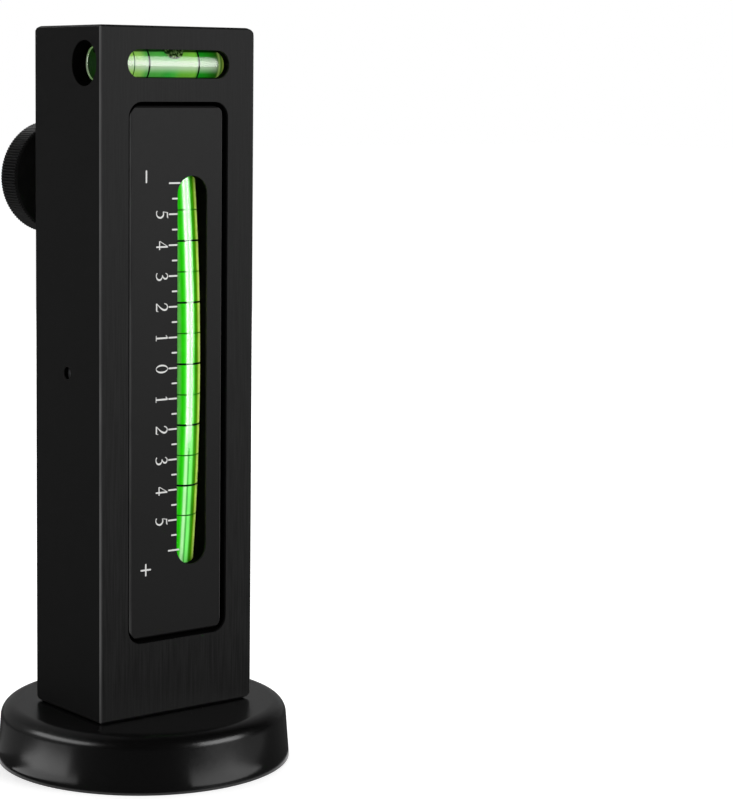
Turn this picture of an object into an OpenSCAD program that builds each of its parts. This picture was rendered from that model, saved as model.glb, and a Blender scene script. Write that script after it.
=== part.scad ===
// Camber and caster gauge: a slim aluminium block on a round magnet base.
// The front carries the camber vial on a fixed scale plate. The back carries the caster vial on a
// rocker, which turns on a cross pin when the knurled knob drives its lead screw in or out.
// Millimetres, +Z up, front towards -Y, origin at the centre of the magnet face.

/* [Housing] */
// Width of the block
body_w = 38; // [36:0.5:46]
// Depth of the block, front face to back face
body_d = 25; // [24.5:0.5:30]
// Radius of the block's right corners and of its top and bottom rear edges
body_r = 2.3; // [1:0.1:5]
// Chamfer of the block's other edges
body_chamfer = 0.4; // [0.2:0.1:1]
// Width of the front and back pockets
pocket_w = 24.5; // [24:0.5:27]
// Corner radius of the pockets
pocket_r = 3.2; // [2:0.1:5]
// Length of the front and back pockets
pocket_h = 110.8; // [100:0.2:140]
// Height of solid block above the pockets, for the level vial
pocket_top = 15.2; // [14.5:0.1:18]
// Height of solid block below the pockets, for the base screws
pocket_foot = 15.4; // [13:0.1:30]
// Depth of the front pocket, down to the web
front_pocket_d = 10.5; // [10.5:0.1:10.8]
// Thickness of the web between the two pockets
web_t = 1.5; // [1.2:0.1:1.6]

/* [Camber scale plate] */
// Gap all round the plate in its pocket
plate_gap = 0.85; // [0.3:0.05:1.5]
// How far the plate's face lies below the front face
plate_recess = 0.6; // [0.2:0.1:0.6]
// Corner radius of the plate and of the rocker
plate_r = 2.3; // [1:0.1:3]
// Chamfer round the faces of the plate and of the rocker
plate_chamfer = 0.4; // [0.1:0.05:0.8]
// Height of the vials and their zero marks above the middle of the pockets
vial_up = 1; // [0:0.1:2]
// Sideways distance from the centreline to the vials
vial_x = 3.8; // [2:0.1:4.5]
// Width of the window over each bent vial
window_w = 7.4; // [7.3:0.1:8.4]
// Length of the window over each bent vial
window_h = 80.7; // [70:0.1:86]

/* [Bent vials] */
// Bend radius of the two vials: one degree of tilt moves the bubble 6.3 mm
bend_r = 362; // [340:1:420]
// Outer diameter of a bent vial
vial_d = 7; // [6:0.1:7]
// Glass thickness of a bent vial
vial_wall = 0.8; // [0.5:0.1:1]
// Length of a bent vial along its arc
vial_len = 94; // [88:1:96]
// Depth from the scale face to the vial's axis at mid-length
vial_sink = 3.15; // [2.9:0.05:3.2]
// Clearance between a vial and its channel, on the radius
vial_fit = 0.1; // [0.05:0.01:0.15]
// Length of the plug in each end of a bent vial
plug_len = 2; // [1.5:0.1:4]
// Diameter of the bubble in a bent vial
bubble_d = 4; // [3:0.1:4.2]
// Length of the bubble in a bent vial
bubble_len = 4.6; // [4.4:0.1:12]
// Height of the rubber saddles that bed the vials, along the vial
saddle_h = 8; // [4:0.5:10]
// Distance from the vial's end to the middle of each saddle
saddle_end = 10; // [8:0.5:20]

/* [Level vial] */
// Distance from the block's top end to the level vial's axis
level_down = 7.6; // [7:0.1:8.5]
// Depth of the level vial's axis behind the front face
level_in = 6; // [5.6:0.1:7]
// Diameter of the bore for the level vial
level_bore_d = 9.2; // [8:0.1:9.6]
// Diameter of the level vial
level_d = 9; // [7.8:0.1:9]
// Wall thickness of the level vial
level_wall = 1; // [0.6:0.1:1.4]
// How far the level vial's end lies inside the left face
level_inset = 3.1; // [0.4:0.1:4]
// Height of the level window
level_window_h = 5.8; // [4:0.1:6.4]
// Width of the level window
level_window_w = 25; // [20:0.1:27]
// Length of the plug that closes the level vial
level_plug_len = 2; // [1.5:0.1:4]
// Diameter of the level bubble
level_bubble_d = 2.6; // [2:0.1:4.6]
// Length of the level bubble
level_bubble_len = 6; // [5:0.1:9]

/* [Rocker and its pin] */
// Depth of the pivot pin behind the front face
pivot_in = 12.5; // [12.3:0.1:12.7]
// Diameter of the pivot pin
pin_d = 2.5; // [2:0.1:2.8]
// Running clearance of the rocker on its pin, on the radius
pin_fit = 0.05; // [0.02:0.01:0.1]
// How far the pin's end lies inside the left face
pin_inset = 0.8; // [0.2:0.1:2]
// How far the pin reaches into the right wall
pin_grip = 5; // [3:0.1:6]
// Outer radius of the rocker's two pivot lugs
lug_r = 3.2; // [2.8:0.1:3.4]
// Air round the lugs, in the web and in the plate
lug_air = 0.5; // [0.3:0.1:0.8]
// Thickness of the rocker
rocker_t = 10.4; // [10.3:0.05:10.5]
// How far the rocker's face lies below the back face
rocker_recess = 0.2; // [0:0.1:0.2]
// Gap between the rocker and each side of its pocket
rocker_side_gap = 0.4; // [0.3:0.1:1]
// Gap between the rocker and each end of its pocket
rocker_end_gap = 0.8; // [0.7:0.1:1.5]

/* [Adjuster] */
// Sideways distance from the centreline to the screw, to the left
screw_x = 6; // [5.5:0.1:6.5]
// Distance from the pivot up to the screw
screw_up = 39; // [30:0.5:42]
// Diameter of the lead screw
screw_d = 4; // [3:0.1:4.2]
// Running clearance of the screw in its bush, on the radius
screw_fit = 0.05; // [0.02:0.01:0.1]
// Clearance of the screw in the rocker, on the radius
screw_air = 0.8; // [0.75:0.05:1]
// Length of the screw in front of the web's back face, at rest
screw_nose = 5.5; // [4:0.1:5.6]
// Outer diameter of the threaded bush
bush_d = 6; // [5.4:0.1:6.4]
// Length of the threaded bush, without its flange
bush_len = 5.8; // [4:0.1:6]
// Diameter of the bush's flange
bush_flange_d = 8; // [7.2:0.1:8.4]
// Thickness of the bush's flange
bush_flange_t = 0.8; // [0.5:0.1:0.9]
// Diameter of the spring's pocket in the rocker
spring_pocket_d = 9.2; // [9:0.1:9.6]
// Material left between the spring's pocket and the rocker's face
spring_seat_t = 4.2; // [3:0.1:6]
// Diameter of the spring
spring_d = 6.8; // [6.2:0.1:7.2]
// Diameter of the spring's wire
spring_wire = 0.7; // [0.4:0.05:0.8]
// Turns of the spring
spring_turns = 5; // [3:1:7]
// Diameter of the thrust washer
washer_d = 9.2; // [8:0.1:12]
// Thickness of the thrust washer
washer_t = 0.8; // [0.5:0.1:1.5]
// Gap between the rocker and the washer, for the rocker's tilt
washer_gap = 0.3; // [0.25:0.05:0.5]

/* [Knob] */
// Diameter of the knob over its knurl
knob_d = 24; // [20:0.2:25]
// Width of the knurled rim
knob_t = 6.4; // [5:0.1:9]
// Distance from the back face to the knurled rim
knob_standoff = 9.4; // [6:0.1:14]
// Diameter of the knob's hub
hub_d = 8; // [7:0.1:10]
// Number of grooves in the knurl
knurl_count = 120; // [40:1:130]
// Depth of the grooves
knurl_depth = 0.25; // [0.1:0.05:0.5]
// Chamfer on both edges of the rim
knob_chamfer = 0.5; // [0.3:0.1:1.2]
// Diameter of the dish in the knob's outer face
dish_d = 17; // [12:0.5:18]
// Depth of the dish
dish_depth = 0.7; // [0.3:0.1:1]

/* [Magnet base] */
// Diameter at the magnet face
base_d = 61.8; // [54:0.2:70]
// Diameter at the shoulder
base_top_d = 60.4; // [52:0.2:68]
// Height of the base
base_h = 11.8; // [10.5:0.1:16]
// Rounding of the shoulder
base_r = 3; // [1:0.1:4]
// Outer diameter of the magnet's groove
groove_d = 54; // [48:0.5:54]
// Diameter of the centre pole
pole_d = 32; // [30:0.5:34]
// Depth of the magnet's groove
groove_depth = 7.2; // [5:0.1:8]
// Width of the potting on each side of the magnet
potting_w = 1; // [0.4:0.1:2]
// How far the magnet lies inside the magnet face
magnet_inset = 0.4; // [0.1:0.1:1]
// Sideways distance from the centreline to each base screw
base_screw_x = 9; // [7:0.5:10.5]
// Diameter of a base screw
base_screw_d = 4; // [3:0.1:5]
// Depth of the base screws' threads in the block
base_screw_grip = 9; // [6:0.5:11]

/* [Plate screws] */
// Diameter of a plate screw
plate_screw_d = 2; // [1.6:0.1:2.2]
// Depth of a plate screw in the plate
plate_screw_grip = 5; // [3:0.1:7]
// Distance from the plate's long edges to a screw's axis, beside the vial
plate_screw_side = 1.85; // [1.7:0.05:2]
// Distance from the plate's short edges to a screw's axis
plate_screw_end = 3.5; // [3:0.1:8]

/* [Hidden] */

$fn = 64;
// Facets of the large arcs, and extra length by which a cut passes through a face
arc_fn = 720;
cut = 1;
// Gap between pieces that are pressed or poured together
press_gap = 0.02;
// Gap between a bubble and its fluid, and between a bubble and its vial
bubble_gap = 0.1;
bubble_air = 0.3;
// Gap between the knob's hub and the thrust washer
hub_gap = 0.05;
// Gap past each end of a bent vial in the way by which it is put in
way_gap = 0.5;

// Height and faces of the block
body_h = pocket_top + pocket_h + pocket_foot;
z_top = base_h + body_h;
y_front = -body_d / 2;
y_back = body_d / 2;
// Middle of both pockets, where the pivot is
mid_z = z_top - pocket_top - pocket_h / 2;
web_front = y_front + front_pocket_d;
web_back = web_front + web_t;
pivot_y = y_front + pivot_in;

// Scale faces and vial axes on both sides
plate_face = y_front + plate_recess;
rocker_face = y_back - rocker_recess;
rocker_front = rocker_face - rocker_t;
plate_w = pocket_w - 2 * plate_gap;
plate_h = pocket_h - 2 * plate_gap;
plate_t = web_front - plate_face;
rocker_w = pocket_w - 2 * rocker_side_gap;
rocker_h = pocket_h - 2 * rocker_end_gap;

// Bent vials: half angle of the glass and of its inside, and where the bubble rests
deg_per_mm = 180 / (PI * bend_r);
vial_a = vial_len / 2 * deg_per_mm;
inside_a = vial_a - plug_len * deg_per_mm;
vial_in_r = vial_d / 2 - vial_wall;
bubble_out = vial_in_r - bubble_d / 2 - bubble_air;
bubble_a = inside_a - (bubble_len / 2 + bubble_air) * deg_per_mm;
channel_r = vial_d / 2 + vial_fit;
channel_a = vial_a + vial_fit * deg_per_mm;
window_reach = window_h / 2 + vial_up;
window_sink = vial_sink + bend_r - sqrt(bend_r * bend_r - window_reach * window_reach);

// Level vial, from its open left end to its round right end
level_z = z_top - level_down;
level_y = y_front + level_in;
level_x0 = -body_w / 2 + level_inset;
level_x1 = level_window_w / 2 + level_d / 4;
level_in_r = level_d / 2 - level_wall;
level_bubble_up = level_in_r - level_bubble_d / 2 - bubble_air;

// Adjuster, from the screw's nose to the knob's outer face
screw_z = mid_z + screw_up;
screw_y0 = web_back - screw_nose;
screw_travel = 1.4;
washer_y = rocker_face + washer_gap;
hub_y = washer_y + washer_t + hub_gap;
rim_y = y_back + knob_standoff;
knob_y1 = rim_y + knob_t;
screw_y1 = knob_y1 - dish_depth - 2;
flange_y = web_back + bush_flange_t;
spring_y1 = rocker_face - spring_seat_t;

// Four plate screws at the corners
plate_screw_x = plate_w / 2 - plate_screw_side;
plate_screw_z = plate_h / 2 - plate_screw_end;
plate_head_r = plate_screw_d * 0.9;
plate_head_t = plate_head_r - plate_screw_d / 2;

// Magnet ring between its two bands of potting
magnet_r0 = pole_d / 2 + potting_w;
magnet_r1 = groove_d / 2 - potting_w;
base_head_r = base_screw_d * 0.875;
base_head_t = base_screw_d;
base_head_z = 1;
base_screw_air = 0.3;

// Flat shapes --------------------------------------------------------------------------------

// Rectangle with true round corners
module rounded(w, h, r) {
    square([w - 2 * r, h], center = true);
    square([w, h - 2 * r], center = true);
    for (x = [-1, 1], y = [-1, 1])
        translate([x * (w / 2 - r), y * (h / 2 - r)]) circle(r);
}

// Slot with round ends, standing on end
module slot(w, h) {
    square([w, h - w], center = true);
    for (y = [-1, 1]) translate([0, y * (h - w) / 2]) circle(w / 2);
}

// Rectangle with its four corners cut off
module chamfered(w, h, c) {
    x = w / 2;
    y = h / 2;
    polygon([[c - x, -y], [x - c, -y], [x, c - y], [x, y - c],
        [x - c, y], [c - x, y], [-x, y - c], [-x, c - y]]);
}

// Rectangle with round corners of radius r on the right and chamfered ones on the left
module half_rounded(w, h, r, c) {
    intersection() {
        union() {
            rounded(w, h, r);
            translate([-w / 2, -h / 2]) square([w / 2, h]);
        }
        chamfered(w, h, c);
    }
}

// Directions ---------------------------------------------------------------------------------

// Flat shape in X and Z, solid from y0 to y1
module from_to(y0, y1) {
    translate([0, y1, 0]) rotate([90, 0, 0]) linear_extrude(y1 - y0) children();
}

// Flat shape in Y and Z, solid over a width along X
module across(w) {
    rotate([90, 0, 90]) translate([0, 0, -w / 2]) linear_extrude(w) children();
}

// Round bar along Y, from y0 to y1
module bar(r, y0, y1) {
    translate([0, y1, 0]) rotate([90, 0, 0]) cylinder(r = r, h = y1 - y0);
}

// Round bar along X, from x0 to x1
module cross_bar(r, x0, x1) {
    translate([x0, 0, 0]) rotate([0, 90, 0]) cylinder(r = r, h = x1 - x0);
}

// Bar with round ends along Z, centred
module capsule(r, len) {
    cylinder(r = r, h = len - 2 * r, center = true);
    for (z = [-1, 1]) translate([0, 0, z * (len / 2 - r)]) sphere(r);
}

// Places -------------------------------------------------------------------------------------

// Camber vial: its arc bows towards the front
module at_camber() {
    translate([vial_x, plate_face + vial_sink, mid_z + vial_up]) children();
}

// Caster vial: the same arc, bowed towards the back
module at_caster() {
    translate([vial_x, rocker_face - vial_sink, mid_z + vial_up]) mirror([0, 1, 0]) children();
}

module at_level() {
    translate([0, level_y, level_z]) children();
}

module at_screw() {
    translate([-screw_x, 0, screw_z]) children();
}

module at_pivot() {
    translate([0, pivot_y, mid_z]) children();
}

module at_plate_screws() {
    for (x = [-1, 1], z = [-1, 1])
        translate([x * plate_screw_x, 0, mid_z + z * plate_screw_z]) children();
}

module at_base_screws() {
    for (x = [-1, 1]) translate([x * base_screw_x, 0, 0]) children();
}

// Bent vial, apex at the origin and bowed towards -Y -------------------------------------------

// Bent round bar between two angles, with a hole if r_in is set
module bent_bar(r, a0, a1, r_in = 0) {
    translate([0, bend_r, 0]) rotate([90, 0, -90]) rotate([0, 0, a0])
        rotate_extrude(angle = a1 - a0, $fn = arc_fn) translate([bend_r, 0])
            difference() {
                circle(r, $fn = 64);
                if (r_in > 0) circle(r_in, $fn = 64);
            }
}

// Bubble where it rests, at the vial's top end, floating against the outer wall
module bubble_shape(grow) {
    translate([0, bend_r, 0]) rotate([-bubble_a, 0, 0]) translate([0, -bend_r - bubble_out, 0])
        capsule(bubble_d / 2 + grow, bubble_len + 2 * grow);
}

module bent_tube() {
    bent_bar(vial_d / 2, -vial_a, vial_a, vial_in_r);
}

module bent_plugs() {
    for (side = [0, 1]) mirror([0, 0, side])
        bent_bar(vial_in_r - press_gap, inside_a, vial_a);
}

module bent_fluid() {
    difference() {
        bent_bar(vial_in_r - press_gap, -inside_a, inside_a);
        bubble_shape(bubble_gap);
    }
}

// Bed for the vial along its own arc, and a way as wide as the window by which it is put in from inside
module vial_channel(open_y) {
    way_h = vial_len + 2 * way_gap;
    bent_bar(channel_r, -channel_a, channel_a);
    across(window_w) intersection() {
        translate([bend_r, 0]) circle(bend_r, $fn = arc_fn);
        translate([0, -way_h / 2]) square([open_y - vial_sink, way_h]);
    }
}

// Block with chamfered faces that shows a vial through its front, with the front at y = 0
module scale_block(w, h, t) {
    difference() {
        intersection() {
            from_to(0, t) rounded(w, h, plate_r);
            translate([0, t / 2, 0]) linear_extrude(h, center = true) chamfered(w, t, plate_chamfer);
            translate([0, t / 2, 0]) across(w) chamfered(t, h, plate_chamfer);
        }
        translate([vial_x, 0, 0]) {
            from_to(-cut, window_sink + vial_fit) slot(window_w, window_h);
            translate([0, vial_sink, vial_up]) vial_channel(t + cut);
        }
    }
}

// Rubber beds behind the vial, from its back to the block's inner face
module saddles(t) {
    for (z = [-1, 1]) difference() {
        translate([-vial_d / 2, 0, z * (vial_len / 2 - saddle_end) - saddle_h / 2])
            cube([vial_d, t - vial_sink, saddle_h]);
        bent_bar(vial_d / 2, -vial_a, vial_a);
        translate([0, bend_r, 0]) rotate([0, 90, 0]) difference() {
            cylinder(r = 2 * bend_r, h = vial_d + cut, center = true);
            cylinder(r = bend_r, h = vial_d + 2 * cut, center = true, $fn = arc_fn);
        }
    }
}

// Camber side --------------------------------------------------------------------------------

module housing() {
    color("#26272a") difference() {
        translate([0, 0, base_h + body_h / 2]) intersection() {
            from_to(y_front, y_back) half_rounded(body_w, body_h, body_r, body_chamfer);
            linear_extrude(body_h, center = true) chamfered(body_w, body_d, body_chamfer);
            across(body_w) half_rounded(body_d, body_h, body_r, body_chamfer);
        }
        translate([0, 0, mid_z]) {
            from_to(y_front - cut, web_front) rounded(pocket_w, pocket_h, pocket_r);
            from_to(web_back, y_back + cut) rounded(pocket_w, pocket_h, pocket_r);
            from_to(web_front - cut, web_back + cut)
                square([pocket_w, 2 * (lug_r + lug_air)], center = true);
        }
        at_pivot() cross_bar(pin_d / 2 + press_gap, -body_w / 2 - cut, pocket_w / 2 + pin_grip);
        at_screw() bar(bush_d / 2 + press_gap, web_front - cut, web_back + cut);
        at_plate_screws() plate_screw(press_gap, cut);
        at_level() {
            cross_bar(level_bore_d / 2, -body_w / 2 - cut, level_x1 - level_d / 2);
            translate([level_x1 - level_d / 2, 0, 0]) sphere(level_bore_d / 2);
            from_to(-level_in - cut, 0) rotate(90) slot(level_window_h, level_window_w);
        }
        at_base_screws()
            cylinder(r = base_screw_d / 2 + press_gap, h = base_h + base_screw_grip + cut);
    }
}

module camber_plate() {
    color("#2c2d31") difference() {
        translate([0, plate_face, mid_z]) scale_block(plate_w, plate_h, plate_t);
        at_pivot() cross_bar(lug_r + lug_air, -plate_w, plate_w);
        at_screw() bar(bush_d / 2 + bubble_air, screw_y0 - screw_travel - bubble_air, web_front + cut);
        at_plate_screws() plate_screw(press_gap, cut);
    }
}

// Countersunk screw through the web from behind, grown by a gap and by a pass beyond its ends
module plate_screw(gap, pass) {
    bar(plate_screw_d / 2 + gap, web_front - plate_screw_grip - gap, web_back);
    translate([0, web_back, 0]) rotate([90, 0, 0])
        cylinder(r1 = plate_head_r + gap, r2 = plate_screw_d / 2 + gap, h = plate_head_t);
    if (pass > 0) bar(plate_head_r + gap, web_back, web_back + pass);
}

module camber_plate_screws() {
    color("#9b9da0") at_plate_screws() plate_screw(0, 0);
}

module camber_vial() {
    color("#bff5a8", 0.5) at_camber() bent_tube();
}

module camber_vial_plugs() {
    color("#e8e8e4") at_camber() bent_plugs();
}

module camber_fluid() {
    color("#5dd63c", 0.6) at_camber() bent_fluid();
}

module camber_bubble() {
    color("#e8ffd8", 0.4) at_camber() bubble_shape(0);
}

module camber_saddles() {
    color("#1c1c1c") at_camber() saddles(plate_t);
}

// Level --------------------------------------------------------------------------------------

// Inside or outside of the level vial: open at the left, round at the right
module level_rod(r, x0) {
    cross_bar(r, x0, level_x1 - level_d / 2);
    translate([level_x1 - level_d / 2, 0, 0]) sphere(r);
}

module level_bubble_shape(grow) {
    translate([0, 0, level_bubble_up]) rotate([0, 90, 0])
        capsule(level_bubble_d / 2 + grow, level_bubble_len + 2 * grow);
}

module level_vial() {
    color("#e6f2a0", 0.5) at_level() difference() {
        level_rod(level_d / 2, level_x0);
        level_rod(level_in_r, level_x0 - cut);
    }
}

module level_vial_plug() {
    color("#e8e8e4") at_level()
        cross_bar(level_in_r - press_gap, level_x0, level_x0 + level_plug_len);
}

module level_fluid() {
    color("#c8e85a", 0.6) at_level() difference() {
        level_rod(level_in_r - press_gap, level_x0 + level_plug_len);
        level_bubble_shape(bubble_gap);
    }
}

module level_bubble() {
    color("#f4ffd0", 0.4) at_level() level_bubble_shape(0);
}

// Caster side --------------------------------------------------------------------------------

module caster_rocker() {
    color("#2c2d31") difference() {
        union() {
            translate([0, rocker_face, mid_z]) mirror([0, 1, 0])
                scale_block(rocker_w, rocker_h, rocker_t);
            difference() {
                at_pivot() {
                    cross_bar(lug_r, -rocker_w / 2, rocker_w / 2);
                    translate([-rocker_w / 2, 0, -lug_r])
                        cube([rocker_w, rocker_front - pivot_y + cut, 2 * lug_r]);
                }
                at_caster() vial_channel(rocker_t + lug_r + body_d);
            }
        }
        at_pivot() cross_bar(pin_d / 2 + pin_fit, -rocker_w, rocker_w);
        at_screw() {
            bar(screw_d / 2 + screw_air, rocker_front - cut, rocker_face + cut);
            bar(spring_pocket_d / 2, rocker_front - cut, spring_y1);
        }
    }
}

module caster_vial() {
    color("#bff5a8", 0.5) at_caster() bent_tube();
}

module caster_vial_plugs() {
    color("#e8e8e4") at_caster() bent_plugs();
}

module caster_fluid() {
    color("#5dd63c", 0.6) at_caster() bent_fluid();
}

module caster_bubble() {
    color("#e8ffd8", 0.4) at_caster() bubble_shape(0);
}

module caster_saddles() {
    color("#1c1c1c") at_caster() saddles(rocker_t);
}

module pivot_pin() {
    color("#b8babd") at_pivot()
        cross_bar(pin_d / 2, -body_w / 2 + pin_inset, pocket_w / 2 + pin_grip - press_gap);
}

// Adjuster -----------------------------------------------------------------------------------

module threaded_bush() {
    color("#c9a24a") at_screw() difference() {
        union() {
            bar(bush_d / 2, web_back - bush_len, web_back);
            bar(bush_flange_d / 2, web_back, flange_y);
        }
        bar(screw_d / 2 + screw_fit, web_back - bush_len - cut, flange_y + cut);
    }
}

module lead_screw() {
    color("#a9abae") at_screw() bar(screw_d / 2, screw_y0, screw_y1);
}

// Rim with straight knurling, chamfered on both edges, on a plain hub
module adjuster_knob() {
    r = knob_d / 2;
    c = knob_chamfer;
    color("#1d1e20") at_screw() difference() {
        union() {
            bar(hub_d / 2, hub_y, rim_y + cut);
            intersection() {
                from_to(rim_y, knob_y1) difference() {
                    circle(r);
                    for (i = [0 : knurl_count - 1]) rotate(i * 360 / knurl_count)
                        translate([r, 0]) rotate(45) square(knurl_depth * sqrt(2), center = true);
                }
                translate([0, rim_y, 0]) rotate([-90, 0, 0]) rotate_extrude()
                    polygon([[0, 0], [r - c, 0], [r, c], [r, knob_t - c], [r - c, knob_t], [0, knob_t]]);
            }
        }
        bar(screw_d / 2 + press_gap, hub_y - cut, screw_y1);
        bar(dish_d / 2, knob_y1 - dish_depth, knob_y1 + cut);
    }
}

module thrust_washer() {
    color("#e4e2da") at_screw() difference() {
        bar(washer_d / 2, washer_y, washer_y + washer_t);
        bar(screw_d / 2 + bubble_gap, washer_y - cut, washer_y + washer_t + cut);
    }
}

// Compression spring from the bush's flange to its seat in the rocker, swept along a helix
module adjuster_spring() {
    sides = 8;
    steps = 20 * spring_turns;
    w = spring_wire / 2;
    coil_r = spring_d / 2 - w;
    spring_y0 = flange_y + press_gap + w;
    rise = spring_y1 - press_gap - w - spring_y0;
    function ring(i) = let (a = 360 * spring_turns * i / steps)
        [for (k = [0 : sides - 1]) let (b = 360 * k / sides, q = coil_r + w * cos(b))
            [q * cos(a), spring_y0 + w * sin(b) + rise * i / steps, q * sin(a)]];
    color("#c0c2c4") at_screw() polyhedron(
        points = [for (i = [0 : steps]) each ring(i)],
        faces = concat(
            [[for (k = [0 : sides - 1]) k]],
            [for (i = [0 : steps - 1], k = [0 : sides - 1]) let (n = (k + 1) % sides)
                [i * sides + k, (i + 1) * sides + k, (i + 1) * sides + n, i * sides + n]],
            [[for (k = [sides - 1 : -1 : 0]) steps * sides + k]]));
}

// Magnet base --------------------------------------------------------------------------------

// Ring standing on the magnet face's inset, from one radius to another
module groove_ring(r0, r1) {
    translate([0, 0, magnet_inset]) difference() {
        cylinder(r = r1, h = groove_depth - magnet_inset);
        translate([0, 0, -cut]) cylinder(r = r0, h = groove_depth + 2 * cut);
    }
}

module base_cup() {
    r = base_top_d / 2;
    color("#17181a") difference() {
        rotate_extrude($fn = 128) {
            polygon([[0, 0], [base_d / 2, 0], [r, base_h - base_r], [r - base_r, base_h - base_r],
                [r - base_r, base_h], [0, base_h]]);
            intersection() {
                translate([r - base_r, base_h - base_r]) circle(base_r);
                square([r, base_h]);
            }
        }
        difference() {
            translate([0, 0, -cut]) cylinder(d = groove_d, h = groove_depth + cut);
            translate([0, 0, -2 * cut]) cylinder(d = pole_d, h = groove_depth + 3 * cut);
        }
        at_base_screws() translate([0, 0, -cut]) {
            cylinder(r = base_screw_d / 2 + base_screw_air, h = base_h + 2 * cut);
            cylinder(r = base_head_r + base_screw_air, h = base_head_z + base_head_t + cut);
        }
    }
}

module ring_magnet() {
    color("#3a3a3c") groove_ring(magnet_r0, magnet_r1);
}

module magnet_potting() {
    color("#101010") {
        groove_ring(pole_d / 2, magnet_r0);
        groove_ring(magnet_r1, groove_d / 2);
    }
}

// Socket screws up through the centre pole into the block
module base_screws() {
    socket_r = base_screw_d * 0.43;
    color("#6d6f73") at_base_screws() difference() {
        union() {
            translate([0, 0, base_head_z]) cylinder(r = base_head_r, h = base_head_t);
            translate([0, 0, base_head_z])
                cylinder(r = base_screw_d / 2, h = base_h + base_screw_grip - base_head_z);
        }
        cylinder(r = socket_r, h = base_head_z + base_head_t / 2, $fn = 6);
    }
}

housing();
camber_plate();
camber_plate_screws();
camber_vial();
camber_vial_plugs();
camber_fluid();
camber_bubble();
camber_saddles();
level_vial();
level_vial_plug();
level_fluid();
level_bubble();
caster_rocker();
caster_vial();
caster_vial_plugs();
caster_fluid();
caster_bubble();
caster_saddles();
pivot_pin();
threaded_bush();
lead_screw();
adjuster_knob();
thrust_washer();
adjuster_spring();
base_cup();
ring_magnet();
magnet_potting();
base_screws();
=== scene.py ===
"""Looks of the camber caster gauge: a black anodised aluminium block on a round magnet base.

The CAD nodes give every place and size. This script finishes their surfaces, puts smooth glass,
liquid, bubbles and rings in place of the plain vials, cuts the lead screw's thread, winds its
spring, prints the two scales and closes the opening in the web with strips of black card, which
stand for the shade there.
"""
import bmesh
import bpy
import math
import numpy as np
from mathutils import Matrix, Vector


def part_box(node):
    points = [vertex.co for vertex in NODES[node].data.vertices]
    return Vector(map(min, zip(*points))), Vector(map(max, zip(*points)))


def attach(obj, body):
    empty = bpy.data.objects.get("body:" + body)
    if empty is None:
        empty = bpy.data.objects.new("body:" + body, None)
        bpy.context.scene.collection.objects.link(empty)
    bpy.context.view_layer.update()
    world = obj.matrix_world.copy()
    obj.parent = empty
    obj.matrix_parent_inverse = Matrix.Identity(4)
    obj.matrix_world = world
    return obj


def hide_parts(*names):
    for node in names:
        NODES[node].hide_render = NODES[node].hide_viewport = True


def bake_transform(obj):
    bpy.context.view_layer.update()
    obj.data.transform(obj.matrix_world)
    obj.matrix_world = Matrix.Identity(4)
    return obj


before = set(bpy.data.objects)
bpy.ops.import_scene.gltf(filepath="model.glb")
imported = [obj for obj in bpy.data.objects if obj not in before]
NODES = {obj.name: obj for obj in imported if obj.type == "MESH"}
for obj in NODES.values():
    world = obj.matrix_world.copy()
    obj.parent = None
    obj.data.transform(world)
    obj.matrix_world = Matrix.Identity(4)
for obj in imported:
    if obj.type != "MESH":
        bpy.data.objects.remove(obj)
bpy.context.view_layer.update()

# Sizes in metres --------------------------

MM = 0.001
BEND_R = 362 * MM            # bend radius of both bent vials
DEGREE = BEND_R * math.pi / 180   # length of one degree along a scale
GLASS_WALL = 0.8 * MM        # bent vials
LEVEL_WALL = 1.0 * MM        # level vial
PLUG_LEN = 2.0 * MM          # plugs of all three vials
WETTED = 0.005 * MM          # liquid reaches this far into the glass, so that no air shows between
BUBBLE_PROUD = 0.008 * MM    # how far a bubble's skin shows through the liquid's
RING_OUT = 0.02 * MM         # how far the rings lie outside the liquid, to let a bubble pass
RING_T = 0.02 * MM           # thickness of a ring's ink
WINDOW_W = 7.4 * MM          # width of the long slot in each scale face
PRINT_T = 0.03 * MM          # thickness of printed paint


def node_box(name):
    """Lowest corner, highest corner and middle of a CAD node."""
    low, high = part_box(name)
    return low, high, (low + high) / 2


BODY_LOW, BODY_HIGH = node_box("housing")[:2]
PLATE_LOW, PLATE_HIGH, PLATE_MID = node_box("camber_plate")
ROCKER_HIGH = node_box("caster_rocker")[1]
VIAL_LOW, VIAL_HIGH, VIAL_MID = node_box("camber_vial")
CASTER_HIGH, CASTER_MID = node_box("caster_vial")[1:]
LEVEL_LOW, LEVEL_HIGH, LEVEL_MID = node_box("level_vial")
BUBBLE_LOW, BUBBLE_HIGH, BUBBLE_MID = node_box("level_bubble")
SCREW_LOW, SCREW_HIGH, SCREW_MID = node_box("lead_screw")
SPRING_LOW, SPRING_HIGH, SPRING_MID = node_box("adjuster_spring")
KNOB_MID = node_box("adjuster_knob")[2]

VIAL_R = (VIAL_HIGH.x - VIAL_LOW.x) / 2
LIQUID_R = VIAL_R - GLASS_WALL + WETTED
VIAL_ANGLE = math.asin((VIAL_HIGH.z - VIAL_MID.z) / (BEND_R + VIAL_R))
LIQUID_ANGLE = VIAL_ANGLE - PLUG_LEN / BEND_R
LEVEL_R = (LEVEL_HIGH.z - LEVEL_LOW.z) / 2
LEVEL_LIQUID_R = LEVEL_R - LEVEL_WALL + WETTED


# Meshes -----------------------------------

CREASE = 35                  # degrees; edges sharper than this stay hard
MERGE, SPECK = 1e-7, 1e-8    # points closer than MERGE become one, and edges under SPECK vanish


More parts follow.
